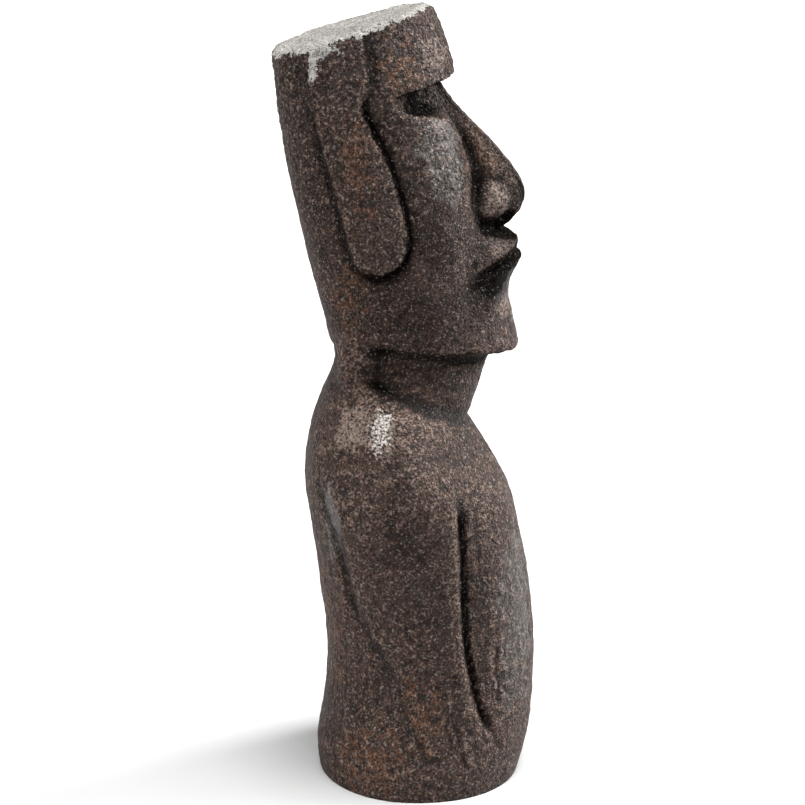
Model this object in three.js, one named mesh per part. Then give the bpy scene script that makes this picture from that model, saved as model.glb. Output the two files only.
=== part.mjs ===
// Moai statue: a head and torso cast as one piece, cut flat below.
// Millimetres, +Z up. The figure faces -Y, its own right side is -X, and it stands on z = 0.
//
// The form is written as a field: a function that is negative inside the figure and positive
// outside it. A grid of rays runs out from a spine inside the figure and stops where the field
// is zero, and the grid closes into one solid.
//
// Inside the field a place is (side, ahead, up): side is the distance from the middle plane,
// ahead is measured towards the face and up from the ground. The head has a frame of its own,
// (side, reach, rise), which leans back with it.

import * as THREE from 'three';

const degrees = Math.PI / 180;

// ---------- Driving sizes ----------

const LEAN = 14 * degrees;        // how far the head leans back
const HEAD_AHEAD = 20;            // where the head's frame starts
const HEAD_UP = 330;
const CROWN_RISE = 249.6;         // the flat top of the head, above that start
const CROWN_SLOPE = 0.05;         // it rises a little more towards the brow

const TORSO_TOP = 334;
const NECK_BASE = 255;
const NECK_TOP = 352;

const BROW_RISE = 198;            // lower edge of the brow
const BROW_EDGE = 1.6;            // height over which it juts out, each way
const EYE_RIM = 170;              // lowest place of the hollow under it
const EYE_DEPTH = 14;
const NOSE_RISE = 81.5;           // underside of the nose
const MOUTH_RISE = 61.5;          // line between the lips, at the middle
const MOUTH_HALF = 33;
const MOUTH_DROP = 6.5;           // the corners turn down
const LOBE_RISE = 97;             // centre of the ear lobe's round end
const EAR_HEIGHT = 7;             // how far the ear stands off the cheek
const EAR_ROOT = 2.8;             // and how far where it runs up to the crown

const ARM_HEIGHT = 4.5;           // how far the arm stands off the flank
const GROOVE_DEPTH = 4;           // the cut between arm and belly
const GROOVE_WIDTH = 3.2;
const BACK_GROOVE_DEPTH = 2.5;    // the cut between arm and back
const BACK_GROOVE_WIDTH = 4.5;
const FLANK_DEPTH = 1.8;          // the hollow of the belly beside the arm
const FLANK_WIDTH = 9;
const PIT_DEPTH = 16;             // the hollow where the neck meets the chest
const PIT_WIDTH = 15;

const COLUMNS = 40;               // rays over half a turn
const ROWS = 59;                  // rows of rays from foot to crown
const CROWN_RINGS = 3;

// ---------- Curves and blends ----------

const mix = (a, b, t) => a + (b - a) * t;

const bell = (x, centre, width) => Math.exp(-(((x - centre) / width) ** 2));

function ramp(from, to, x) {
  const t = Math.min(Math.max((x - from) / (to - from), 0), 1);
  return t * t * (3 - 2 * t);
}

// The field of two forms joined, with a fillet of about the given size.
function joined(a, b, fillet) {
  const overlap = Math.max(fillet - Math.abs(a - b), 0) / fillet;
  return Math.min(a, b) - overlap * overlap * fillet / 4;
}

// The field of what two forms share, and of one form cut out of another.
const shared = (a, b, fillet) => -joined(-a, -b, fillet);
const cut = (a, b, fillet) => shared(a, -b, fillet);

// A smooth curve through (place, value) pairs that never swings past them.
function curve(points) {
  const last = points.length - 1;
  const gaps = points.slice(1).map(([x], i) => x - points[i][0]);
  const slopes = gaps.map((gap, i) => (points[i + 1][1] - points[i][1]) / gap);
  const tangents = points.map((_, i) => {
    if (i === 0) return slopes[0];
    if (i === last) return slopes[last - 1];
    const [before, after] = [slopes[i - 1], slopes[i]];
    if (before * after <= 0) return 0;
    const near = 2 * gaps[i] + gaps[i - 1];
    const far = gaps[i] + 2 * gaps[i - 1];
    return (near + far) / (near / before + far / after);
  });
  return (place) => {
    const x = Math.min(Math.max(place, points[0][0]), points[last][0]);
    let i = 0;
    while (i < last - 1 && x > points[i + 1][0]) i += 1;
    const t = (x - points[i][0]) / gaps[i];
    const rise = t * t * (3 - 2 * t);
    return mix(points[i][1], points[i + 1][1], rise)
      + gaps[i] * (t * (1 - t) ** 2 * tangents[i] + t * t * (t - 1) * tangents[i + 1]);
  };
}

// An oval, widest at its middle, with its own squareness at the front and at the back.
function oval(side, ahead, { front, back, middle, half, frontSquare, backSquare }) {
  const offset = ahead - middle;
  const depth = offset > 0 ? front - middle : middle - back;
  const power = offset > 0 ? frontSquare : backSquare;
  const size = ((side / half) ** power + (Math.abs(offset) / depth) ** power) ** (1 / power);
  if (size < 1e-6) return -Math.min(depth, half);
  return Math.hypot(side, offset) * (1 - 1 / size);
}

function ellipsoid(place, centre, radii) {
  let near = 0;
  let steep = 0;
  place.forEach((value, i) => {
    const offset = value - centre[i];
    near += (offset / radii[i]) ** 2;
    steep += (offset / radii[i] ** 2) ** 2;
  });
  const size = Math.sqrt(near);
  return size * (size - 1) / Math.max(Math.sqrt(steep), 1e-9);
}

// ---------- Torso: profiles by height ----------

const torsoFront = curve([[0, 90.5], [15, 94.5], [55, 99.6], [100, 101], [160, 95.4], [215, 84],
  [246, 73.5], [266, 66], [284, 54], [300, 26], [320, -20], [336, -42]]);
const torsoBack = curve([[0, -65], [20, -66.5], [45, -62.5], [95, -58], [160, -64.5],
  [200, -70], [238, -74.4], [265, -71.5], [300, -60.5], [318, -52.5], [336, -47]]);
const torsoHalf = curve([[0, 82.5], [15, 84], [40, 82], [95, 77], [140, 78], [190, 83],
  [225, 86], [250, 84], [268, 78.5], [285, 69], [300, 58], [315, 45], [336, 20]]);

const neckFront = curve([[250, 32], [272, 42.5], [286, 49.5], [300, 54.5], [323, 61.5], [350, 70]]);
const neckBack = curve([[250, -50], [300, -44], [335, -47], [360, -54]]);
const neckHalf = curve([[250, 44], [300, 42], [320, 42], [350, 46]]);

// The arm lies between two slanting lines on the flank.
const armFront = curve([[45, 62], [73, 50.5], [95, 45.5], [128, 39.7], [192, 37], [245, 33]]);
const armBack = curve([[30, 20], [55, 6], [109, -14], [146, -35.7], [190, -47], [250, -64]]);

function torso(side, ahead, up) {
  const [front, back] = [torsoFront(up), torsoBack(up)];
  const square = mix(2.1, 2.35, ramp(0, 60, up));
  const body = oval(side, ahead, {
    front, back, middle: (front + back) / 2, half: torsoHalf(up),
    frontSquare: mix(square, 1.55, ramp(225, 270, up)), backSquare: square,
  });
  const pit = PIT_DEPTH * bell(side, 0, PIT_WIDTH) * ramp(232, 270, up) * ramp(0, 30, ahead);
  return shared(body - armRelief(side, ahead, up) + pit, up - TORSO_TOP, 6);
}

function armRelief(side, ahead, up) {
  const beforeArm = ahead - armFront(up);
  const behindArm = armBack(up) - ahead;
  const flank = ramp(30, 58, side);
  const arm = (1 - ramp(-3.5, 2.5, beforeArm)) * (1 - ramp(-5, 5, behindArm))
    * ramp(18, 120, up) * (1 - ramp(222, 268, up));
  const groove = bell(beforeArm, 2, GROOVE_WIDTH) * ramp(46, 66, up) * (1 - ramp(215, 250, up));
  const backGroove = bell(behindArm, 1, BACK_GROOVE_WIDTH)
    * ramp(120, 150, up) * (1 - ramp(225, 256, up));
  const hollow = bell(beforeArm, 10, FLANK_WIDTH) * ramp(60, 110, up) * (1 - ramp(200, 245, up));
  return flank * (ARM_HEIGHT * arm - GROOVE_DEPTH * groove
    - BACK_GROOVE_DEPTH * backGroove - FLANK_DEPTH * hollow);
}

function neck(side, ahead, up) {
  const [front, back] = [neckFront(up), neckBack(up)];
  const column = oval(side, ahead, {
    front, back, middle: (front + back) / 2, half: neckHalf(up),
    frontSquare: 2.2, backSquare: 2.3,
  });
  const nape = ellipsoid([side, ahead, up], [32, -36, 334], [13.5, 14.5, 29]);
  return joined(shared(shared(column, NECK_BASE - up, 6), up - NECK_TOP, 6), nape, 12);
}

// ---------- Head: profiles by rise up its own axis ----------

const faceFront = curve([[-20, 66], [5, 67.6], [32, 67.5], [60, 62.5], [130, 63],
  [152, 61], [170, 57], [185, 51], [196, 46]]);
const browFront = curve([[190, 66.5], [212, 68.6], [227, 67.8], [243, 65.2], [256, 60]]);
const headBack = curve([[-20, -69], [105, -68.5], [143, -67.5], [180, -65], [214, -61.3],
  [256, -55]]);
const headHalf = curve([[-20, 46], [10, 48], [45, 50], [90, 52.5], [140, 54], [205, 55],
  [230, 53], [256, 49.5]]);

const noseRidge = curve([[78, 74], [91, 92], [97, 96.2], [103, 97.6], [110, 96.8],
  [120, 93.4], [149, 79], [176, 63.5], [206, 52]]);
const noseHalf = curve([[80, 15], [95, 16], [110, 15.5], [125, 13.5], [150, 11.5],
  [180, 10.5], [200, 11.5]]);

const earFront = curve([[75, 0], [93, 3.5], [118, 6], [152, 4], [175, 0], [196, -4.5],
  [212, 2], [223, 5], [256, 8]]);
const earBack = curve([[75, -38], [200, -38.5], [222, -38], [256, -35]]);

// 0 on the face and 1 on the brow that juts out over it.
const browShare = (rise) => ramp(BROW_RISE - BROW_EDGE, BROW_RISE + BROW_EDGE, rise);

function skull(side, reach, rise) {
  const brow = browShare(rise);
  const faceSquare = mix(2.1, 2.8, ramp(30, 165, rise));
  const browSquare = mix(2.15, 1.9, ramp(200, 256, rise));
  return oval(side, reach, {
    front: mix(faceFront(rise), browFront(rise), brow), back: headBack(rise), middle: 0,
    half: headHalf(rise), frontSquare: mix(faceSquare, browSquare, brow), backSquare: 2.7,
  });
}

// How deep the hollow under the brow is.
function eyeDepth(side, reach, rise) {
  const rim = EYE_RIM + 14 * ((side - 29) / 22) ** 2;
  const across = ramp(9, 19, side) * ramp(17, 31, reach);
  return EYE_DEPTH * across * ramp(rim, rim + 14, rise) * (1 - browShare(rise));
}

function nose(side, reach, rise) {
  const ridge = noseRidge(rise);
  const flank = side - noseHalf(rise) - (ridge - reach) * 0.1;
  const wedge = shared(flank, (reach - ridge) * 0.85, 9);
  const below = NOSE_RISE - rise - 0.1 * (97 - reach);
  const trimmed = shared(shared(wedge, below, 5), rise - 200, 6);
  return shared(trimmed, 35 - reach, 4);
}

function nostrils(side, reach, rise) {
  const place = [side, reach, rise];
  return {
    wing: ellipsoid(place, [18, 65.5, 103], [10.5, 18.5, 14]),
    opening: ellipsoid(place, [15, 75, 86], [5.5, 9, 7]),
  };
}

function withLips(face, side, reach, rise) {
  const height = rise - MOUTH_RISE + MOUTH_DROP * (side / MOUTH_HALF) ** 2;
  const muzzle = ellipsoid([side, reach, rise], [0, 50, 62], [31, 32.5, 28]);
  const upper = ellipsoid([side, reach, height], [0, 44, 8], [35, 41.5, 10]);
  const lower = ellipsoid([side, reach, height], [0, 44, -5], [32, 40.5, 6]);
  const mouth = joined(joined(joined(face, muzzle, 12), upper, 6), lower, 6);
  const slit = bell(height, 0, 1.5) * (1 - ramp(29, 36, side)) * ramp(20, 40, reach);
  return mouth + 2.4 * slit * mix(0.5, 1, ramp(4, 16, side));
}

function ear(side, reach, rise) {
  const middle = (earFront(rise) + earBack(rise)) / 2;
  const half = (earFront(rise) - earBack(rise)) / 2;
  const across = (reach - middle) / half;
  const outline = half * (Math.hypot(across, Math.min(rise - LOBE_RISE, 0) / half) - 1);
  const pillow = (across > 0 ? 2 : 4) * across ** 2 * (1 - ramp(200, 230, rise));
  const dimple = 1.2 * bell(rise, 192, 6) * bell(reach, middle - 2, 9);
  const height = mix(EAR_HEIGHT, EAR_ROOT, ramp(190, 222, rise)) - pillow - dimple;
  return shared(shared(outline, side - headHalf(rise) - height, 4), 35 - side, 3);
}

// The ear is crisp in front, rounder behind, and its root swells out of the temple.
function earFillet(reach, rise) {
  return mix(mix(4, 1.5, ramp(-26, -10, reach)), 9, ramp(194, 214, rise));
}

function head(side, reach, rise) {
  const { wing, opening } = nostrils(side, reach, rise);
  let face = skull(side, reach, rise) + eyeDepth(side, reach, rise);
  face = withLips(face, side, reach, rise);
  face = joined(face, joined(nose(side, reach, rise), wing, 7), 4);
  face = cut(face, opening, 4);
  return joined(face, ear(side, reach, rise), earFillet(reach, rise));
}

// ---------- The whole figure ----------

// The underside of the jaw falls towards the chin, and is lost in the nape.
function jawUnderside(ahead, up) {
  const edge = shared(343.4 - 0.15 * ahead, 333.4, 6) - 16 * (1 - ramp(-62, -30, ahead));
  return edge - up;
}

function figure(side, ahead, up) {
  const [offset, height] = [ahead - HEAD_AHEAD, up - HEAD_UP];
  const reach = offset * Math.cos(LEAN) + height * Math.sin(LEAN);
  const rise = height * Math.cos(LEAN) - offset * Math.sin(LEAN);
  const crown = rise - CROWN_RISE - CROWN_SLOPE * reach;
  let block = shared(head(side, reach, rise), crown, 5);
  block = shared(block, jawUnderside(ahead, up), 5);
  const body = joined(torso(side, ahead, up), neck(side, ahead, up), 7);
  return joined(body, block, 8);
}

// ---------- The grid of rays ----------

// The spine is upright in the torso and leans back with the head. Each row of rays lies in a
// plane across it, and that plane dips to the front with the shoulders and the jaw.
const rowPitch = curve([[0, 0], [170, 0], [290, -15], [340, -8], [388, 12], [420, 14],
  [520, 14], [576, 16.9]]);

function spine(length) {
  const lean = ramp(268, 352, length);
  const along = length - HEAD_UP;
  return {
    ahead: mix(14, HEAD_AHEAD - along * Math.sin(LEAN), lean),
    up: mix(length, HEAD_UP + along * Math.cos(LEAN), lean),
    pitch: rowPitch(length) * degrees,
  };
}

// Rows gather at the neck, the chin, the lips, the foot of the nose and the brow.
function rowPlaces() {
  const top = 576;
  const gathering = [[0, 14, 0.8], [345, 12, 2.2], [390, 10, 2.5], [414, 9, 3.2],
    [435, 22, 1], [527, 3.5, 8], [515, 20, 1.2], [574, 6, 1.5], [305, 34, 0.9]];
  const steps = 2000;
  const sums = [0];
  for (let i = 1; i <= steps; i += 1) {
    const place = top * i / steps;
    const crowd = (sum, [middle, width, gain]) => sum + gain * bell(place, middle, width);
    const density = gathering.reduce(crowd, mix(0.75, 1.2, ramp(260, 400, place)));
    sums.push(sums[i - 1] + density);
  }
  return Array.from({ length: ROWS }, (_, row) => {
    const share = sums[steps] * (row / (ROWS - 1));
    return top * sums.findIndex((sum) => sum >= share) / steps;
  });
}

// Columns gather along the nose and along the front and back edges of the ear and arm.
const frontEdge = curve([[0, 60], [60, 66], [110, 72], [230, 74], [330, 80], [430, 84], [576, 82]]);
const backEdge = curve([[0, 100], [90, 102], [128, 118], [190, 129], [240, 134], [330, 128],
  [430, 124], [576, 127]]);

function columnAngles(length) {
  const [front, back] = [frontEdge(length), backEdge(length)];
  const turn = curve([[0, 0], [0.23, 25], [0.43, front - 7], [0.55, front + 7],
    [0.68, back - 7], [0.8, back + 7], [1, 180]]);
  return Array.from({ length: COLUMNS + 1 }, (_, i) => turn(i / COLUMNS) * degrees);
}

// Walks in from outside until the field is zero.
function surfaceAlong(origin, direction, start) {
  let distance = start;
  const at = () => origin.map((value, i) => value + distance * direction[i]);
  for (let step = 0; step < 80; step += 1) {
    const [x, ahead, up] = at();
    const gap = figure(Math.hypot(x, 0.2), ahead, up);
    distance -= Math.min(Math.max(gap * 0.75, -4), 12);
  }
  return at();
}

function wallRow(length) {
  const { ahead, up, pitch } = spine(length);
  return columnAngles(length).map((angle) => {
    const forward = Math.cos(angle);
    const direction = [Math.sin(angle), forward * Math.cos(pitch), forward * Math.sin(pitch)];
    return surfaceAlong([0, ahead, up], direction, 125);
  });
}

// A ring on the crown, at a share of the way out from its middle.
function crownRow(rim, length, share) {
  const { ahead, up, pitch } = spine(length);
  const middle = [0, ahead, up];
  const upward = [0, -Math.sin(pitch), Math.cos(pitch)];
  return rim.map((place) => {
    const origin = place.map((value, i) => mix(middle[i], value, share));
    return surfaceAlong(origin, upward, 40);
  });
}

// Mirrors half a row into a full ring of vertices; x = 0 keeps the two middle ones single.
function fullRing(half) {
  const mirrored = half.slice(1, -1).reverse().map(([x, ahead, up]) => [-x, ahead, up]);
  const middled = half.map(([x, ahead, up], i) => [i % COLUMNS === 0 ? 0 : x, ahead, up]);
  return [...middled, ...mirrored];
}

function figureGeometry() {
  const places = rowPlaces();
  const top = places[ROWS - 1];
  const halves = places.map(wallRow);
  const rim = halves[ROWS - 1];
  const shares = Array.from({ length: CROWN_RINGS }, (_, i) => Math.cos((i + 0.35) * 0.42));
  shares.forEach((share) => halves.push(crownRow(rim, top, share)));
  const rings = halves.map(fullRing);
  rings[0].forEach((place) => { place[2] = 0; });

  const around = 2 * COLUMNS;
  const vertices = [...rings.flat(), [0, spine(0).ahead, 0], crownRow([rim[0]], top, 0)[0]];
  const [footMiddle, crownMiddle] = [vertices.length - 2, vertices.length - 1];
  const lastRing = (rings.length - 1) * around;
  const faces = [];
  for (let i = 0; i < around; i += 1) {
    const next = (i + 1) % around;
    for (let ring = 0; ring < lastRing; ring += around) {
      const [a, b, c, d] = [ring + i, ring + next, ring + around + next, ring + around + i];
      faces.push(a, b, c, a, c, d);
    }
    faces.push(footMiddle, next, i, crownMiddle, lastRing + i, lastRing + next);
  }
  const geometry = new THREE.BufferGeometry();
  const positions = vertices.flatMap(([x, ahead, up]) => [x, -ahead, up]);
  geometry.setAttribute('position', new THREE.Float32BufferAttribute(positions, 3));
  geometry.setIndex(faces);
  return geometry;
}

// ---------- The statue ----------

function statue() {
  const geometry = figureGeometry();
  geometry.computeBoundingBox();
  const middle = geometry.boundingBox.getCenter(new THREE.Vector3());
  geometry.translate(-middle.x, -middle.y, 0);
  geometry.computeVertexNormals();
  const stone = new THREE.MeshStandardMaterial({ color: 0x4a3a34, roughness: 0.85, metalness: 0 });
  const mesh = new THREE.Mesh(geometry, stone);
  mesh.name = 'moai_statue';
  return mesh;
}

const object = new THREE.Group();
object.add(statue());

export default object;
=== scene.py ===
"""Moai statue: the carved surface, the dark cast-stone finish and a plain studio.

The piece repeats the solid's form on a fine grid and carries the relief that the solid is too
coarse for: lumps, tool strokes, grit, cracks, pits and chipped edges. The form is worked out in
millimetres, in the figure's own frame of (side, ahead, up); side is the distance from the
middle plane, ahead is towards the face, and up starts at the foot. The head has a frame that
leans back with it, (side, reach, rise).
"""

from itertools import product

import bpy
import numpy as np
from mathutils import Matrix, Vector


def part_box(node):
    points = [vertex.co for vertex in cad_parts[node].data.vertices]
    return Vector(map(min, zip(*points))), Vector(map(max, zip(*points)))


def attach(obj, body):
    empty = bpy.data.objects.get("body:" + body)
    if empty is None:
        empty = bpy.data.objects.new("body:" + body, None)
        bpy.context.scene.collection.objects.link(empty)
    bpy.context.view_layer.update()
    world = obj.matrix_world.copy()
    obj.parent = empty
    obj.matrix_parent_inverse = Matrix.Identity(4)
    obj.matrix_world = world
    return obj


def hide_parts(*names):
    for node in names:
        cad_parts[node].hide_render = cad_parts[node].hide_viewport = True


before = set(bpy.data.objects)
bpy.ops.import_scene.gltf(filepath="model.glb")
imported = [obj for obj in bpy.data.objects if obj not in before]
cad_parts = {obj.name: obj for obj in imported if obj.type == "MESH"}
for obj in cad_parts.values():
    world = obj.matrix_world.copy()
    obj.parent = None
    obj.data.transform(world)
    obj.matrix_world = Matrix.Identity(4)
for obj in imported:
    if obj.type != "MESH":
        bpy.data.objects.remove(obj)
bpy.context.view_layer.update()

NODE = "moai_statue"
MILLIMETRE = 0.001

COLUMNS, ROWS, CROWN_RINGS = 296, 318, 13     # the fine grid, under 200,000 triangles


# ---------- Curves and blends ----------

def mix(a, b, t):
    return a + (b - a) * t


def bell(x, centre, width):
    return np.exp(-((x - centre) / width) ** 2)


def ramp(start, end, x):
    t = np.clip((x - start) / (end - start), 0, 1)
    return t * t * (3 - 2 * t)


def joined(a, b, fillet):
    """The field of two forms joined, with a fillet of about the given size."""
    overlap = np.maximum(fillet - np.abs(a - b), 0) / fillet
    return np.minimum(a, b) - overlap * overlap * fillet / 4


def shared(a, b, fillet):
    return -joined(-a, -b, fillet)


def cut(a, b, fillet):
    return shared(a, -b, fillet)


def curve(*points):
    """A smooth curve through (place, value) pairs that never swings past them."""
    x, y = np.array(points, float).T
    gaps = np.diff(x)
    slopes = np.diff(y) / gaps
    near = 2 * gaps[1:] + gaps[:-1]
    far = gaps[1:] + 2 * gaps[:-1]
    same_way = slopes[:-1] * slopes[1:] > 0
    before = np.where(same_way, slopes[:-1], 1)
    after = np.where(same_way, slopes[1:], 1)
    inner = np.where(same_way, (near + far) / (near / before + far / after), 0)
    tangents = np.concatenate([slopes[:1], inner, slopes[-1:]])

    def at(place):
        place = np.clip(place, x[0], x[-1])
        i = np.clip(np.searchsorted(x, place) - 1, 0, len(gaps) - 1)
        t = (place - x[i]) / gaps[i]
        bend = t * (1 - t) ** 2 * tangents[i] + t * t * (t - 1) * tangents[i + 1]
        return mix(y[i], y[i + 1], t * t * (3 - 2 * t)) + gaps[i] * bend
    return at


def oval(side, ahead, front, back, middle, half, squares):
    """An oval, widest at its middle, with its own squareness at the front and the back."""
    offset = ahead - middle
    depth = np.where(offset > 0, front - middle, middle - back)
    power = np.where(offset > 0, *squares)
    size = ((side / half) ** power + (np.abs(offset) / depth) ** power) ** (1 / power)
    return np.hypot(side, offset) * (1 - 1 / np.maximum(size, 1e-6))


def ellipsoid(place, centre, radii):
    near = sum(((value - middle) / radius) ** 2
               for value, middle, radius in zip(place, centre, radii))
    steep = sum(((value - middle) / radius ** 2) ** 2
                for value, middle, radius in zip(place, centre, radii))
    size = np.sqrt(near)
    return size * (size - 1) / np.maximum(np.sqrt(steep), 1e-9)


# ---------- The figure's form: the same field as the solid's, in its own millimetres ----------

LEAN = np.radians(14)             # how far the head leans back
HEAD_AHEAD, HEAD_UP = 20, 330     # where the head's frame starts
CROWN_RISE, CROWN_SLOPE = 249.6, 0.05
TORSO_TOP, NECK_BASE, NECK_TOP = 334, 255, 352
BROW_RISE, BROW_EDGE = 198, 1.6
EYE_RIM, EYE_DEPTH = 170, 14
NOSE_RISE = 81.5
MOUTH_RISE, MOUTH_HALF, MOUTH_DROP = 61.5, 33, 6.5
LOBE_RISE, EAR_HEIGHT, EAR_ROOT = 97, 7, 2.8
ARM_HEIGHT, GROOVE_DEPTH, GROOVE_WIDTH = 4.5, 4, 3.2
BACK_GROOVE_DEPTH, BACK_GROOVE_WIDTH = 2.5, 4.5
FLANK_DEPTH, FLANK_WIDTH = 1.8, 9
PIT_DEPTH, PIT_WIDTH = 16, 15

torso_front = curve((0, 90.5), (15, 94.5), (55, 99.6), (100, 101), (160, 95.4), (215, 84),
                    (246, 73.5), (266, 66), (284, 54), (300, 26), (320, -20), (336, -42))
torso_back = curve((0, -65), (20, -66.5), (45, -62.5), (95, -58), (160, -64.5),
                   (200, -70), (238, -74.4), (265, -71.5), (300, -60.5), (318, -52.5), (336, -47))
torso_half = curve((0, 82.5), (15, 84), (40, 82), (95, 77), (140, 78), (190, 83),
                   (225, 86), (250, 84), (268, 78.5), (285, 69), (300, 58), (315, 45), (336, 20))
neck_front = curve((250, 32), (272, 42.5), (286, 49.5), (300, 54.5), (323, 61.5), (350, 70))
neck_back = curve((250, -50), (300, -44), (335, -47), (360, -54))
neck_half = curve((250, 44), (300, 42), (320, 42), (350, 46))
arm_front = curve((45, 62), (73, 50.5), (95, 45.5), (128, 39.7), (192, 37), (245, 33))
arm_back = curve((30, 20), (55, 6), (109, -14), (146, -35.7), (190, -47), (250, -64))

face_front = curve((-20, 66), (5, 67.6), (32, 67.5), (60, 62.5), (130, 63),
                   (152, 61), (170, 57), (185, 51), (196, 46))
brow_front = curve((190, 66.5), (212, 68.6), (227, 67.8), (243, 65.2), (256, 60))
head_back = curve((-20, -69), (105, -68.5), (143, -67.5), (180, -65), (214, -61.3),
                  (256, -55))
head_half = curve((-20, 46), (10, 48), (45, 50), (90, 52.5), (140, 54), (205, 55),
                  (230, 53), (256, 49.5))
nose_ridge = curve((78, 74), (91, 92), (97, 96.2), (103, 97.6), (110, 96.8),
                   (120, 93.4), (149, 79), (176, 63.5), (206, 52))
nose_half = curve((80, 15), (95, 16), (110, 15.5), (125, 13.5), (150, 11.5),
                  (180, 10.5), (200, 11.5))
ear_front = curve((75, 0), (93, 3.5), (118, 6), (152, 4), (175, 0), (196, -4.5),
                  (212, 2), (223, 5), (256, 8))
ear_back = curve((75, -38), (200, -38.5), (222, -38), (256, -35))


def arm_relief(side, ahead, up):
    before_arm = ahead - arm_front(up)
    behind_arm = arm_back(up) - ahead
    flank = ramp(30, 58, side)
    arm = ((1 - ramp(-3.5, 2.5, before_arm)) * (1 - ramp(-5, 5, behind_arm))
           * ramp(18, 120, up) * (1 - ramp(222, 268, up)))
    groove = bell(before_arm, 2, GROOVE_WIDTH) * ramp(46, 66, up) * (1 - ramp(215, 250, up))
    back_groove = (bell(behind_arm, 1, BACK_GROOVE_WIDTH)
                   * ramp(120, 150, up) * (1 - ramp(225, 256, up)))
    hollow = bell(before_arm, 10, FLANK_WIDTH) * ramp(60, 110, up) * (1 - ramp(200, 245, up))
    return flank * (ARM_HEIGHT * arm - GROOVE_DEPTH * groove
                    - BACK_GROOVE_DEPTH * back_groove - FLANK_DEPTH * hollow)


def torso(side, ahead, up):
    front, back = torso_front(up), torso_back(up)
    square = mix(2.1, 2.35, ramp(0, 60, up))
    body = oval(side, ahead, front, back, (front + back) / 2, torso_half(up),
                (mix(square, 1.55, ramp(225, 270, up)), square))
    pit = PIT_DEPTH * bell(side, 0, PIT_WIDTH) * ramp(232, 270, up) * ramp(0, 30, ahead)
    return shared(body - arm_relief(side, ahead, up) + pit, up - TORSO_TOP, 6)


def neck(side, ahead, up):
    front, back = neck_front(up), neck_back(up)
    column = oval(side, ahead, front, back, (front + back) / 2, neck_half(up), (2.2, 2.3))
    nape = ellipsoid((side, ahead, up), (32, -36, 334), (13.5, 14.5, 29))
    return joined(shared(shared(column, NECK_BASE - up, 6), up - NECK_TOP, 6), nape, 12)


def brow_share(rise):
    """0 on the face and 1 on the brow that juts out over it."""
    return ramp(BROW_RISE - BROW_EDGE, BROW_RISE + BROW_EDGE, rise)


def skull(side, reach, rise):
    brow = brow_share(rise)
    front = mix(face_front(rise), brow_front(rise), brow)
    square = mix(mix(2.1, 2.8, ramp(30, 165, rise)), mix(2.15, 1.9, ramp(200, 256, rise)), brow)
    return oval(side, reach, front, head_back(rise), 0, head_half(rise), (square, 2.7))


def eye_depth(side, reach, rise):
    """How deep the hollow under the brow is."""
    rim = EYE_RIM + 14 * ((side - 29) / 22) ** 2
    across = ramp(9, 19, side) * ramp(17, 31, reach)
    down = ramp(rim, rim + 14, rise) * (1 - brow_share(rise))
    return EYE_DEPTH * across * down


def nose(side, reach, rise):
    ridge = nose_ridge(rise)
    flank = side - nose_half(rise) - (ridge - reach) * 0.1
    wedge = shared(flank, (reach - ridge) * 0.85, 9)
    below = NOSE_RISE - rise - 0.1 * (97 - reach)
    trimmed = shared(shared(wedge, below, 5), rise - 200, 6)
    return shared(trimmed, 35 - reach, 4)


def with_lips(face, side, reach, rise):
    height = rise - MOUTH_RISE + MOUTH_DROP * (side / MOUTH_HALF) ** 2
    muzzle = ellipsoid((side, reach, rise), (0, 50, 62), (31, 32.5, 28))
    upper = ellipsoid((side, reach, height), (0, 44, 8), (35, 41.5, 10))
    lower = ellipsoid((side, reach, height), (0, 44, -5), (32, 40.5, 6))
    mouth = joined(joined(joined(face, muzzle, 12), upper, 6), lower, 6)
    slit = bell(height, 0, 1.5) * (1 - ramp(29, 36, side)) * ramp(20, 40, reach)
    return mouth + 2.4 * slit * mix(0.5, 1, ramp(4, 16, side))


def ear(side, reach, rise):
    middle = (ear_front(rise) + ear_back(rise)) / 2
    half = (ear_front(rise) - ear_back(rise)) / 2
    across = (reach - middle) / half
    outline = half * (np.hypot(across, np.minimum(rise - LOBE_RISE, 0) / half) - 1)
    pillow = np.where(across > 0, 2, 4) * across ** 2 * (1 - ramp(200, 230, rise))
    dimple = 1.2 * bell(rise, 192, 6) * bell(reach, middle - 2, 9)
    height = mix(EAR_HEIGHT, EAR_ROOT, ramp(190, 222, rise)) - pillow - dimple
    return shared(shared(outline, side - head_half(rise) - height, 4), 35 - side, 3)


def ear_fillet(reach, rise):
    """The ear is crisp in front, rounder behind, and its root swells out of the temple."""
    return mix(mix(4, 1.5, ramp(-26, -10, reach)), 9, ramp(194, 214, rise))


def head(side, reach, rise):
    face = skull(side, reach, rise) + eye_depth(side, reach, rise)
    face = with_lips(face, side, reach, rise)
    wing = ellipsoid((side, reach, rise), (18, 65.5, 103), (10.5, 18.5, 14))
    opening = ellipsoid((side, reach, rise), (15, 75, 86), (5.5, 9, 7))
    face = joined(face, joined(nose(side, reach, rise), wing, 7), 4)
    face = cut(face, opening, 4)
    return joined(face, ear(side, reach, rise), ear_fillet(reach, rise))


def jaw_underside(ahead, up):
    """The underside of the jaw falls towards the chin, and is lost in the nape."""
    edge = shared(343.4 - 0.15 * ahead, 333.4, 6) - 16 * (1 - ramp(-62, -30, ahead))
    return edge - up


def head_place(ahead, up):
    """(reach, rise): a place in the frame that leans back with the head."""
    offset, height = ahead - HEAD_AHEAD, up - HEAD_UP
    return (offset * np.cos(LEAN) + height * np.sin(LEAN),
            height * np.cos(LEAN) - offset * np.sin(LEAN))


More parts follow.
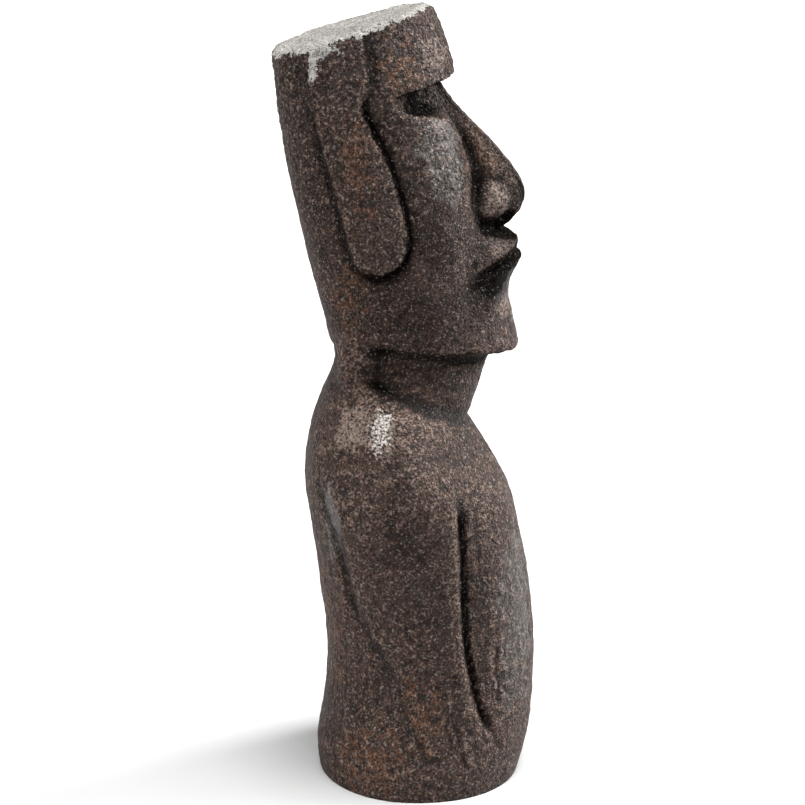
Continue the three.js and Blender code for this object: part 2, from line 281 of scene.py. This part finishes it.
def figure(side, ahead, up):
    reach, rise = head_place(ahead, up)
    crown = rise - CROWN_RISE - CROWN_SLOPE * reach
    block = shared(head(side, reach, rise), crown, 5)
    block = shared(block, jaw_underside(ahead, up), 5)
    body = joined(torso(side, ahead, up), neck(side, ahead, up), 7)
    return joined(body, block, 8)


# ---------- The grid of rays ----------

row_pitch = curve((0, 0), (170, 0), (290, -15), (340, -8), (388, 12), (420, 14),
                  (520, 14), (576, 16.9))
SPINE_LENGTH = 576
OUTSIDE, ABOVE_CROWN = 125, 40    # where rays start: this far out from the spine and the crown
FOLD = 0.2                        # rounds off the fold of the field at the middle plane
WALK_STEPS, WALK_SHARE = 60, 0.75


def spine(length):
    """(ahead, up, pitch) of the plane in which a row of rays lies."""
    lean = ramp(268, 352, length)
    along = length - HEAD_UP
    return (mix(14, HEAD_AHEAD - along * np.sin(LEAN), lean),
            mix(length, HEAD_UP + along * np.cos(LEAN), lean),
            np.radians(row_pitch(length)))


def row_places(rows):
    """Rows gather at the chin, the lips, the foot of the nose and the brow."""
    gathering = ((0, 14, 0.8), (345, 12, 1), (390, 14, 1), (414, 9, 1.5),
                 (435, 22, 0.5), (527, 4, 4), (515, 20, 0.6), (574, 6, 1.5))
    fine_steps = 4000
    place = np.linspace(0, SPINE_LENGTH, fine_steps)
    density = 1 + sum(gain * bell(place, middle, width) for middle, width, gain in gathering)
    return np.interp(np.linspace(0, 1, rows), np.cumsum(density) / density.sum(), place)


def surface_along(origin, way, start):
    """Walks in from outside along each ray until the figure's field is zero."""
    distance = np.full(np.broadcast(*origin, *way).shape, float(start))
    for _ in range(WALK_STEPS):
        x, ahead, up = (o + distance * w for o, w in zip(origin, way))
        gap = figure(np.hypot(x, FOLD), ahead, up)
        distance -= np.clip(gap * WALK_SHARE, -4, 12)
    return np.stack([o + distance * w for o, w in zip(origin, way)], -1)


# ---------- Noise ----------

random = np.random.default_rng(590)
PERMUTATION = random.permutation(256)
GRADIENTS = random.normal(size=(256, 3))
GRADIENTS /= np.linalg.norm(GRADIENTS, axis=1)[:, None]


SEED_SHIFT = 19.7                 # how far the noise of one seed lies from the next, in cells
NOISE_GAIN = 1.7                  # brings the noise up to about -1 to 1


def noise(places, size, seed=0):
    """Smooth noise from about -1 to 1. Its lumps are one size across, or one for each axis."""
    scaled = places / np.asarray(size, float) + SEED_SHIFT * seed
    cell = np.floor(scaled).astype(int)
    local = scaled - cell
    fade = local ** 3 * (local * (local * 6 - 15) + 10)
    total = 0
    for corner in product((0, 1), repeat=3):
        x, y, z = ((cell + corner) & 255).transpose(-1, *range(cell.ndim - 1))
        index = PERMUTATION[(PERMUTATION[(PERMUTATION[x] + y) & 255] + z) & 255]
        weight = np.where(corner, fade, 1 - fade).prod(-1)
        total = total + weight * (GRADIENTS[index] * (local - corner)).sum(-1)
    return NOISE_GAIN * total


def layered(places, size, seed):
    """Three layers of noise, each finer and weaker than the one before."""
    return sum(noise(places, np.asarray(size, float) / 2 ** i, seed + i) / 1.8 ** i
               for i in range(3))


def patch(places, centre, radii, ragged, seed):
    """1 in a ragged patch around a place on both flanks, falling to 0 at its edge."""
    lump = 14
    offset = (np.abs(places[..., 0]) - centre[0], places[..., 1] - centre[1],
              places[..., 2] - centre[2])
    distance = np.sqrt(sum((part / radius) ** 2 for part, radius in zip(offset, radii)))
    return 1 - ramp(0.55, 1.15, distance + ragged * layered(places, lump, seed))


# ---------- The smooth surface ----------

def smooth_grid():
    """Rows of places on the figure's surface, from the foot up and in over the crown."""
    angle, length = np.meshgrid(np.linspace(0, 2 * np.pi, COLUMNS, endpoint=False),
                                row_places(ROWS))
    ahead, up, pitch = spine(length)
    out = (np.sin(angle), np.cos(angle) * np.cos(pitch), np.cos(angle) * np.sin(pitch))
    wall = surface_along((0 * ahead, ahead, up), out, OUTSIDE)

    top_ahead, top_up, top_pitch = spine(np.array(float(SPINE_LENGTH)))
    middle = np.array([0, top_ahead, top_up])
    upward = np.array([0, -np.sin(top_pitch), np.cos(top_pitch)])
    first_turn = 0.16
    rings = []
    for turn in np.linspace(first_turn, np.pi / 2, CROWN_RINGS + 1):
        origin = middle + (wall[-1] - middle) * np.cos(turn)
        rings.append(surface_along(origin.T, upward[:, None] + 0 * origin.T, ABOVE_CROWN))
    grid = np.concatenate([wall, rings])
    grid[0, :, 2] = 0
    return grid


def normals_of(grid):
    """Outward normals. The crown's last ring is one place, so it borrows its neighbour's."""
    along_row = np.roll(grid, -1, 1) - np.roll(grid, 1, 1)
    normals = np.cross(np.gradient(grid, axis=0), along_row)
    normals[-1] = normals[-2].mean(0)
    return normals / np.maximum(np.linalg.norm(normals, axis=-1), 1e-9)[..., None]


def averaged(values, rounds):
    """Values on the grid, each spread over its neighbours a number of times."""
    for _ in range(rounds):
        values = (values + np.roll(values, 1, 1) + np.roll(values, -1, 1)) / 3
        above = np.concatenate([values[1:], values[-1:]])
        below = np.concatenate([values[:1], values[:-1]])
        values = (values + above + below) / 3
    return values


def hollowness(grid, rounds, depth):
    """-1 on edges to 1 in hollows, for hollows about this many millimetres deep."""
    sunk = ((averaged(grid, rounds) - grid) * normals_of(grid)).sum(-1)
    return np.clip(sunk / depth, -1, 1)


# ---------- Relief ----------

# Cracks and dents on the flanks: side sign, then (ahead, up) at both ends, width and depth.
CRACKS = (
    (-1, (66, 118), (68, 74), 1.6, 1.6),
    (-1, (70, 96), (74, 80), 1.4, 1.0),
    (-1, (34, 58), (43, 27), 2.4, 1.3),
    (-1, (27, 66), (31, 44), 2.0, 0.9),
    (-1, (6, 48), (14, 34), 2.6, 1.4),
    (-1, (14, 34), (22, 36), 2.4, 1.2),
    (-1, (12, 15), (24, 11), 2.8, 1.1),
    (-1, (-3, 141), (0, 132), 2.6, 1.2),
    (-1, (60, 60), (70, 34), 1.8, 0.9),
    (1, (58, 130), (62, 88), 1.7, 1.3),
    (1, (10, 60), (4, 42), 2.4, 1.2),
    (1, (-20, 40), (-30, 24), 2.2, 1.0),
)


def segment_distance(x, y, start, end):
    """The distance of each place from a straight piece of line."""
    step = np.subtract(end, start)
    share = ((x - start[0]) * step[0] + (y - start[1]) * step[1]) / (step @ step)
    share = np.clip(share, 0, 1)
    return np.hypot(x - start[0] - share * step[0], y - start[1] - share * step[1])


def cracks(places):
    """How deep the cracks and dents are, with lines that wander a little."""
    wander = 2.2 * noise(places, 9, 31)
    depth = np.zeros(places.shape[:-1])
    for sign, start, end, width, deep in CRACKS:
        distance = segment_distance(places[..., 1] + wander, places[..., 2], start, end)
        here = (places[..., 0] * sign > 20) * bell(distance, 0, width)
        depth = np.maximum(depth, deep * here)
    return depth


PIT_COUNT, PIT_RADII, PIT_STEEPNESS = 420, (1.3, 3.2), 0.28


def pits(grid):
    """How deep the small round pits are, at random places on the grid."""
    flat = grid.reshape(-1, 3)
    depth = np.zeros(len(flat))
    for middle in random.choice(len(flat), PIT_COUNT, replace=False):
        radius = random.uniform(*PIT_RADII)
        distance = np.linalg.norm(flat - flat[middle], axis=1)
        depth = np.maximum(depth, PIT_STEEPNESS * radius * bell(distance, 0, radius))
    return depth.reshape(grid.shape[:-1])


def chipped_edges(grid):
    """Bites out of the sharpest edges, such as the crown's rim and the brow."""
    edge = ramp(0.25, 0.9, -hollowness(grid, 3, 0.35))
    large = 1.3 * ramp(0.1, 0.9, noise(grid, 8, 41))
    small = 0.5 * ramp(0, 0.6, noise(grid, 4, 42))
    return edge * (large + small)


def relief(grid):
    """How far each place stands out from the smooth surface, in millimetres."""
    side, ahead, up = np.abs(grid[..., 0]), grid[..., 1], grid[..., 2]
    reach, rise = head_place(ahead, up)
    on_head = ramp(336, 352, up)
    behind_arm = arm_back(up) - ahead
    on_arm = (ramp(30, 58, side) * (1 - ramp(-6, 0, behind_arm))
              * (1 - ramp(-4, 4, ahead - arm_front(up))) * (1 - on_head))
    temple = on_head * ramp(120, 190, rise)

    lumps = 0.75 * noise(grid, 36, 1) + 0.5 * noise(grid, 15, 2) + 0.36 * noise(grid, 6.5, 3)
    strokes = (0.3 * noise(grid, (4.2, 4.2, 30), 4) + 0.16 * noise(grid, (3, 3, 14), 5))
    stroke_share = (1 - on_head) * (1 - 0.75 * on_arm) * (1 - ramp(250, 300, up))
    nape = on_head * ramp(-40, -58, reach) * 0.5
    slant = np.stack([grid[..., 0], 0.8 * ahead + 0.6 * up, 0.6 * ahead - 0.8 * up], -1)
    brush = 0.34 * noise(slant, (5, 3, 16), 6) * on_arm * (1 - ramp(150, 200, up))
    clumps = ramp(-0.35, 0.35, noise(grid, 20, 12))
    grit = ((0.22 + (0.2 + 0.45 * clumps) * temple) * noise(grid, 4.4, 7)
            + (0.12 + 0.22 * temple) * noise(grid, 2.9, 8))
    ear_line = (0.9 * bell(reach, ear_back(rise) + 7, 1.6) * ramp(38, 54, side) * on_head
                * ramp(96, 112, rise) * (1 - ramp(176, 196, rise))
                * ramp(-0.3, 0.4, noise(grid, 22, 9)))
    folds = (0.5 * bell(noise(grid, (40, 40, 7), 10), 0, 0.12)
             * ramp(318, 326, up) * (1 - ramp(338, 346, up)))
    stands = lumps + strokes * (stroke_share + nape) + brush + grit - ear_line - folds
    stands -= cracks(grid) + pits(grid) + chipped_edges(grid)
    return stands * ramp(-2, 5, up)


# ---------- Tones: where the finish is worn, rusty, grey, dark or rough, and where light and shade are painted ---

# Patches on both flanks: the middle (side, ahead, up) and the radii along the same axes.
GREY_PATCHES = (((42, 24, 490), (18, 24, 40)), ((67, -19, 288), (12, 10, 20)),
                ((52, 84, 140), (30, 22, 80)), ((24, 82, 384), (20, 20, 16)),
                ((76, 6, 178), (10, 14, 26)), ((60, -58, 215), (20, 10, 34)))
RUST_PATCHES = (((15, 50, 482), (14, 22, 32)), ((60, -34, 478), (9, 14, 46)),
                ((44, -42, 384), (14, 16, 30)), ((80, 8, 78), (12, 16, 38)),
                ((68, -30, 30), (30, 30, 30)), ((50, -4, 548), (20, 20, 22)),
                ((20, -60, 120), (40, 20, 60)))
# Worn places on the nostril wings, upper lip, chin, brow and shoulders: worn paint, and painted
# light on these faces that turn to the light.
WORN_AND_LIT_PATCHES = (((22, 68, 448), (14, 16, 14)), ((24, 76, 416), (22, 18, 12)),
                ((22, 80, 370), (20, 14, 12)), ((67, -19, 288), (14, 11, 20)),
                ((36, 26, 558), (16, 18, 20)), ((58, -42, 288), (18, 18, 20)))
# Darker places: a darker finish on the upper arms, and painted shade on the jaw, the cheeks and
# the neck under the jaw.
DARK_AND_SHADE_PATCHES = (((86, -6, 222), (20, 20, 34)), ((50, 2, 364), (20, 28, 24)),
                ((52, 22, 420), (14, 18, 34)), ((42, -2, 328), (22, 36, 13)))
# Painted shade in the eye sockets and under the nose.
SHADED_CORNERS = (((28, 4, 518), (20, 22, 12)), ((16, 62, 428), (20, 20, 8)))
WHITE_PATCHES = (((54, -56, 561), (7, 15, 5)), ((57, -67, 553), (5, 4, 9)))
# A painted sheen highlight on each shoulder.
SHEEN_PATCHES = (((67, -19, 288), (12, 9, 18)),)
SHEEN, CORNER_SHADE, DARKNESS = 0.5, 0.36, 0.13     # strengths of the painted sheen highlight, the painted shade in corners and the dark and shaded patches

SHELTER_REACHES = (5, 12, 24)


def most(places, patches, seed, ragged=0.35):
    """The strongest of a kind's patches at each place."""
    return np.max([patch(places, centre, radii, ragged, seed + i)
                   for i, (centre, radii) in enumerate(patches)], axis=0)


def shelter(grid):
    """0 in the open to 1 in deep corners: how far the form closes in around each place."""
    normals = normals_of(grid)
    closed = 0
    for reach in SHELTER_REACHES:
        out = grid + reach * normals
        gap = figure(np.hypot(out[..., 0], FOLD), out[..., 1], out[..., 2])
        closed = closed + np.clip(1 - gap / reach, 0, 1)
    return closed / len(SHELTER_REACHES)


def pale_and_highlight_share(grid):
    """1 on the pale crown, which is pale stone and also painted light from above, and where the
    finish is worn down to the same pale stone; half on the shoulders' painted sheen highlight.
    """
    reach, rise = head_place(grid[..., 1], grid[..., 2])
    over_crown = rise - CROWN_RISE - CROWN_SLOPE * reach
    ragged = 2.2 * layered(grid, 9, 61)
    crown = ramp(-4.5, -1.5, over_crown + ragged)
    white = most(grid, WHITE_PATCHES, 71, 0.7)
    sheen = SHEEN * most(grid, SHEEN_PATCHES, 75, 0.6)
    return np.max([crown, white, sheen], axis=0)


def shade_and_dark_finish(grid):
    """Painted shade: the shelter of each place, or more in the shaded corners and the darker
    patches, which are a darker finish on the upper arms and painted shade elsewhere.
    """
    corner_shading = CORNER_SHADE * most(grid, SHADED_CORNERS, 31)
    dark = DARKNESS * most(grid, DARK_AND_SHADE_PATCHES, 35, 0.6)
    return np.max([shelter(grid), corner_shading, dark], axis=0)


def tones(grid, carved):
    """The finish of each place on the grid, with the light and shade painted on it, as the values
    that the material reads.
    """
    grey = most(grid, GREY_PATCHES, 81)
    return {
        "fine_hollow": hollowness(carved, 2, 0.22),
        # painted shade in the sheltered corners, and the darker and shaded patches
        "shelter": shade_and_dark_finish(grid),
        # the pale crown, partly painted light from above, the white worn places and the painted
        # sheen
        "crown": pale_and_highlight_share(grid),
        "grey": grey,
        "rust": most(grid, RUST_PATCHES, 91, 0.5),
        "rough": ramp(352, 380, grid[..., 2]) * (1 - 0.6 * grey),
        # worn paint, partly painted light on faces that the light falls on
        "worn_and_lit": most(grid, WORN_AND_LIT_PATCHES, 51, 0.5),
    }


# ---------- The piece ----------

def mesh_of(grid, name):
    """A closed mesh of the grid's rings, with a fan over the foot and one over the crown."""
    rings, around = grid.shape[0] - 1, grid.shape[1]
    vertices = np.concatenate([grid[:-1].reshape(-1, 3), [grid[0].mean(0)], [grid[-1, 0]]])
    corner = np.arange(rings * around).reshape(rings, around)
    after = np.roll(corner, -1, 1)
    quads = np.stack([corner[:-1], after[:-1], after[1:], corner[1:]], -1).reshape(-1, 4)
    foot, crown = len(vertices) - 2, len(vertices) - 1
    fans = [(foot, b, a) for a, b in zip(corner[0], after[0])]
    fans += [(crown, a, b) for a, b in zip(corner[-1], after[-1])]
    mesh = bpy.data.meshes.new(name)
    mesh.from_pydata(vertices.tolist(), [], quads.tolist() + [list(map(int, f)) for f in fans])
    mesh.validate()
    return mesh


def in_part_frame(grid):
    """The grid in metres in the part's frame, centred on the solid's box, and its shift in y."""
    low, high = (np.array(corner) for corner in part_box(NODE))
    placed = grid * (1, -1, 1) * MILLIMETRE
    flat = placed.reshape(-1, 3)
    shift = (low + high) / 2 - (flat.min(0) + flat.max(0)) / 2
    return placed + (shift[0], shift[1], 0), shift[1]


def add_tones(mesh, grid_tones):
    """Keeps each tone as a value at each vertex, in the order of mesh_of's vertices."""
    for name, values in grid_tones.items():
        foot, crown = values[0].mean(), values[-1].mean()
        flat = np.concatenate([values[:-1].ravel(), [foot, crown]]).astype(np.float32)
        mesh.attributes.new(name, "FLOAT", "POINT").data.foreach_set("value", flat)


def build_statue():
    smooth = smooth_grid()
    carved = smooth + relief(smooth)[..., None] * normals_of(smooth)
    carved[0, :, 2] = 0
    carved[..., 2] = np.maximum(carved[..., 2], 0)
    placed, shift = in_part_frame(carved)
    mesh = mesh_of(placed, "moai_carved")
    add_tones(mesh, tones(smooth, carved))
    mesh.polygons.foreach_set("use_smooth", [True] * len(mesh.polygons))
    statue = bpy.data.objects.new("moai_carved", mesh)
    bpy.context.scene.collection.objects.link(statue)
    return statue, shift


# ---------- Cast stone ----------

def srgb(red, green, blue):
    """A colour given as it looks, in 0 to 255, as the linear colour that shaders take."""
    parts = np.array([red, green, blue]) / 255
    linear = np.where(parts <= 0.04045, parts / 12.92, ((parts + 0.055) / 1.055) ** 2.4)
    return (*linear.tolist(), 1)


class Shader:
    """Short ways to add and join the nodes of one material."""

    def __init__(self, material):
        material.use_nodes = True
        self.tree = material.node_tree
        self.surface = self.tree.nodes["Principled BSDF"]
        self.place = self.add("ShaderNodeTexCoord").outputs["Object"]

    def put(self, socket, value):
        """Joins a socket to another one, or sets its value."""
        if isinstance(value, bpy.types.NodeSocket):
            self.tree.links.new(value, socket)
        else:
            socket.default_value = value

    def add(self, kind, inputs=None, **settings):
        node = self.tree.nodes.new(kind)
        for name, value in settings.items():
            setattr(node, name, value)
        for name, value in (inputs or {}).items():
            self.put(node.inputs[name], value)
        return node

    def tone(self, name):
        """One of the mesh's tones."""
        return self.add("ShaderNodeAttribute", attribute_name=name).outputs["Fac"]

    def noise(self, size, detail=3, roughness=0.6, stretch=(1, 1, 1)):
        """Noise of 0 to 1 with lumps of a size in millimetres."""
        place = self.place
        if stretch != (1, 1, 1):
            place = self.add("ShaderNodeMapping", {"Vector": place, "Scale": stretch}).outputs[0]
        inputs = {"Vector": place, "Scale": 1 / (size * MILLIMETRE), "Detail": detail,
                  "Roughness": roughness}
        return self.add("ShaderNodeTexNoise", inputs).outputs[0]

    def grains(self, size):
        """The distance from the middle of the nearest grain, in grains of a size."""
        inputs = {"Vector": self.place, "Scale": 1 / (size * MILLIMETRE)}
        return self.add("ShaderNodeTexVoronoi", inputs).outputs[0]

    def math(self, operation, a, b):
        node = self.add("ShaderNodeMath", operation=operation)
        self.put(node.inputs[0], a)
        self.put(node.inputs[1], b)
        return node.outputs[0]

    def times(self, a, b):
        return self.math("MULTIPLY", a, b)

    def plus(self, a, b):
        return self.math("ADD", a, b)

    def window(self, value, low, high, to_low=0.0, to_high=1.0):
        """Turns low to high into to_low to to_high, and stays within them."""
        inputs = {"Value": value, "From Min": low, "From Max": high, "To Min": to_low,
                  "To Max": to_high}
        return self.add("ShaderNodeMapRange", inputs).outputs[0]

    def blend(self, share, a, b):
        """Colour a where the share is 0, and colour b where it is 1."""
        node = self.add("ShaderNodeMix", data_type="RGBA")
        self.put(node.inputs[0], share)
        self.put(node.inputs[6], a)
        self.put(node.inputs[7], b)
        return node.outputs[2]

    def bump(self, height, depth, normal=None):
        """Raises the surface by a height of 0 to 1 times a depth in millimetres."""
        inputs = {"Height": height, "Strength": 1, "Distance": depth * MILLIMETRE}
        node = self.add("ShaderNodeBump", inputs)
        if normal is not None:
            self.put(node.inputs["Normal"], normal)
        return node.outputs["Normal"]


DARK_BROWN = srgb(34, 26, 23)
BROWN = srgb(52, 40, 35)
RED_BROWN = srgb(60, 39, 31)
ORANGE_BROWN = srgb(88, 56, 36)
GREY = srgb(55, 51, 48)
SAND = srgb(132, 112, 99)
# Worn paint, which also stands for the light falling on the faces it covers.
WORN_AND_LIT = srgb(112, 98, 90)
# The crown's dust and pale stone, and the white worn places; on the crown they are also painted
# light from above, on the shoulders a painted sheen.
DUST_AND_HIGHLIGHT = srgb(114, 111, 107)
PALE = srgb(152, 149, 144)
# Black for the pores, for the dark wash and painted shade in the fine hollows, and for the shade
# painted in sheltered corners.
PORE_AND_SHADE_BLACK = srgb(8, 6, 5)


def by_shade(shader, open_value, sheltered_value):
    """One value in the open, and another in the sheltered corners, where shade is painted."""
    return shader.window(shader.tone("shelter"), 0.04, 0.3, open_value, sheltered_value)


def crumbly(shader):
    """0 where the finish is calm to 1 where it is crumbly."""
    clumps = shader.window(shader.noise(20, 3, 0.65), 0.4, 0.6, 0.25, 1)
    return shader.times(clumps, shader.window(shader.tone("rough"), 0, 1, 0.26, 1))


def patina(shader, fleck, speckle):
    """The brown coat, with its rusty and smooth grey places, and its worn places, which are also
    painted light on faces that the light falls on.
    """
    cloud = shader.noise(34, 4)
    coat = shader.blend(shader.window(cloud, 0.35, 0.65), DARK_BROWN, BROWN)
    coat = shader.blend(shader.window(fleck, 0.42, 0.62, 0, 0.6), coat, RED_BROWN)
    rust = shader.times(shader.tone("rust"), shader.window(fleck, 0.42, 0.56))
    coat = shader.blend(shader.times(rust, 0.55), coat, ORANGE_BROWN)
    smooth = shader.plus(shader.tone("grey"), shader.window(fleck, 0.3, 0.7, -0.4, 0.4))
    coat = shader.blend(shader.window(smooth, 0.3, 0.7, 0, 0.85), coat, GREY)
    # Worn paint, and painted light on the faces that the light falls on.
    worn_and_lit = shader.plus(shader.tone("worn_and_lit"), shader.window(speckle, 0.35, 0.65, -0.4, 0.4))
    return shader.blend(shader.window(worn_and_lit, 0.15, 1.3, 0, 0.8), coat, WORN_AND_LIT)


def with_grains(shader, coat, speckle, grains):
    """Sand that shows through the coat, in crumbs and single grains, and on crests, where it is
    rubbed sand and also a painted highlight.
    """
    gritty = crumbly(shader)
    crumb = shader.times(shader.window(speckle, 0.6, 0.67, 0, 0.6), gritty)
    colour = shader.blend(crumb, coat, SAND)
    grain = shader.times(shader.window(grains, 0.64, 0.72),
                         shader.window(gritty, 0, 1, 0.3, 0.8))
    colour = shader.blend(grain, colour, SAND)
    # Lighter crests of the relief: rubbed sand and a painted highlight.
    crest = shader.window(shader.tone("fine_hollow"), -0.3, -1, 0, 0.35)
    rubbed_and_lit = shader.times(crest, shader.window(speckle, 0.45, 0.55))
    return shader.blend(rubbed_and_lit, colour, SAND)


def with_pores_and_shade(shader, colour, speckle):
    """Dark pores, darker fine hollows that are dark wash and painted shade, and painted shade in
    the sheltered corners.
    """
    colour = shader.blend(shader.window(speckle, 0.46, 0.38, 0, 0.85), colour, PORE_AND_SHADE_BLACK)
    # Darker fine hollows of the relief: dark wash and painted shade.
    hollow = shader.window(shader.tone("fine_hollow"), 0.15, 0.9, 0, 0.7)
    colour = shader.blend(hollow, colour, PORE_AND_SHADE_BLACK)
    # Painted shade in the sheltered corners.
    return shader.blend(by_shade(shader, 0, 0.96), colour, PORE_AND_SHADE_BLACK)


def stone_colour(shader):
    fleck = shader.noise(7, 4, 0.7)
    speckle = shader.noise(1.9, 2, 0.6)
    grains = shader.noise(1.15, 1, 0.5)
    coat = patina(shader, fleck, speckle)
    colour = with_pores_and_shade(shader, with_grains(shader, coat, speckle, grains), speckle)
    # The pale crown, partly painted light from above, the white worn places, and the painted
    # sheen on the shoulders.
    edge = shader.plus(shader.tone("crown"), shader.window(speckle, 0.35, 0.65, -0.45, 0.45))
    pale = shader.blend(shader.window(grains, 0.35, 0.5), DUST_AND_HIGHLIGHT, PALE)
    return shader.blend(shader.window(edge, 0.38, 0.68), colour, pale)


def stone_bump(shader):
    """Strokes, lumps, crumbs and sand, weaker on the smooth grey places."""
    gritty = crumbly(shader)
    calm = shader.window(shader.tone("grey"), 0, 1, 1, 0.3)
    relief = shader.times(shader.window(gritty, 0, 1, 0.45, 1), calm)
    strokes = shader.times(shader.noise(2.4, 2, 0.6, (1, 1, 0.25)), calm)
    lumps = shader.times(shader.noise(5.5, 2, 0.6), relief)
    crumbs = shader.times(shader.window(shader.grains(3.4), 0.55, 0.15), relief)
    sand = shader.times(shader.noise(1.3, 1.5, 0.6), relief)
    normal = shader.bump(strokes, 0.9)
    normal = shader.bump(lumps, 4, normal)
    normal = shader.bump(crumbs, 1, normal)
    return shader.bump(sand, 4, normal)


def cast_stone():
    material = bpy.data.materials.new("dark_cast_stone")
    shader = Shader(material)
    inputs = shader.surface.inputs
    shader.put(inputs["Base Color"], stone_colour(shader))
    shader.put(inputs["Roughness"], shader.window(shader.tone("grey"), 0, 1, 0.6, 0.38))
    shader.put(inputs["Normal"], stone_bump(shader))
    # Less reflection in the sheltered corners, so the painted shade there stays dark.
    shader.put(inputs["Specular IOR Level"], by_shade(shader, 0.14, 0.01))
    return material


# ---------- Studio ----------

FLOOR_HALF, FLOOR_GREY, FLOOR_ROUGHNESS = 8.0, 0.4, 0.9
WORLD_STRENGTH = 0.05
# Softboxes: name, azimuth, elevation, the degrees that each spans, and strength.
SOFTBOXES = (("overhead_box", 300, 80, 28, 5.9), ("front_box", 10, 26, 32, 9.2),
             ("back_box", 215, 26, 36, 3.6))
CAMERA_AZIMUTH, CAMERA_ELEVATION = 266, 15.5
CAMERA_DISTANCE, LOOK_UP = 1.65, 0.291       # in metres
SENSOR_WIDTH, CAMERA_LENS = 36, 97.8         # in millimetres


def plain_material(name, grey, roughness):
    material = bpy.data.materials.new(name)
    material.use_nodes = True
    surface = material.node_tree.nodes["Principled BSDF"]
    surface.inputs["Base Color"].default_value = (grey, grey, grey, 1)
    surface.inputs["Roughness"].default_value = roughness
    return material


def add_floor():
    mesh = bpy.data.meshes.new("floor")
    corners = [(x * FLOOR_HALF, y * FLOOR_HALF, 0)
               for x, y in ((-1, -1), (1, -1), (1, 1), (-1, 1))]
    mesh.from_pydata(corners, [], [(0, 1, 2, 3)])
    mesh.materials.append(plain_material("pale_floor", FLOOR_GREY, FLOOR_ROUGHNESS))
    floor = bpy.data.objects.new("floor", mesh)
    bpy.context.scene.collection.objects.link(floor)


def aimed(data, name, place, target):
    """An object of light or camera data that looks from one place at another."""
    holder = bpy.data.objects.new(name, data)
    bpy.context.scene.collection.objects.link(holder)
    back = np.subtract(place, target) / np.linalg.norm(np.subtract(place, target))
    right = np.cross((0, 0, 1), back)
    right = right / np.linalg.norm(right)
    up = np.cross(back, right)
    holder.matrix_world = np.vstack([np.column_stack([right, up, back, place]), (0, 0, 0, 1)]).T
    return holder


def direction(azimuth, elevation):
    """From the figure towards a light or camera. 0 is straight ahead and 270 its right side."""
    azimuth, elevation = np.radians(azimuth), np.radians(elevation)
    return np.array([np.sin(azimuth) * np.cos(elevation), -np.cos(azimuth) * np.cos(elevation),
                     np.sin(elevation)])


def add_softbox(name, azimuth, elevation, spread, strength):
    """A very large, distant softbox that spans a number of degrees."""
    data = bpy.data.lights.new(name, "SUN")
    data.angle = np.radians(spread)
    data.energy = strength
    aimed(data, name, direction(azimuth, elevation), (0, 0, 0))


def add_lights():
    for softbox in SOFTBOXES:
        add_softbox(*softbox)
    world = bpy.data.worlds.new("studio")
    world.use_nodes = True
    background = world.node_tree.nodes["Background"]
    background.inputs["Color"].default_value = (1, 1, 1, 1)
    background.inputs["Strength"].default_value = WORLD_STRENGTH
    bpy.context.scene.world = world


def add_camera(target):
    place = target + CAMERA_DISTANCE * direction(CAMERA_AZIMUTH, CAMERA_ELEVATION)
    data = bpy.data.cameras.new("camera")
    data.sensor_width = SENSOR_WIDTH
    data.lens = CAMERA_LENS
    bpy.context.scene.camera = aimed(data, "camera", place, target)


# ---------- The scene ----------

statue, shift = build_statue()
statue.data.materials.append(cast_stone())
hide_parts(NODE)
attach(statue, "root")

add_floor()
add_lights()
add_camera(np.array([0, shift, LOOK_UP]))
bpy.context.scene.view_settings.view_transform = "Standard"
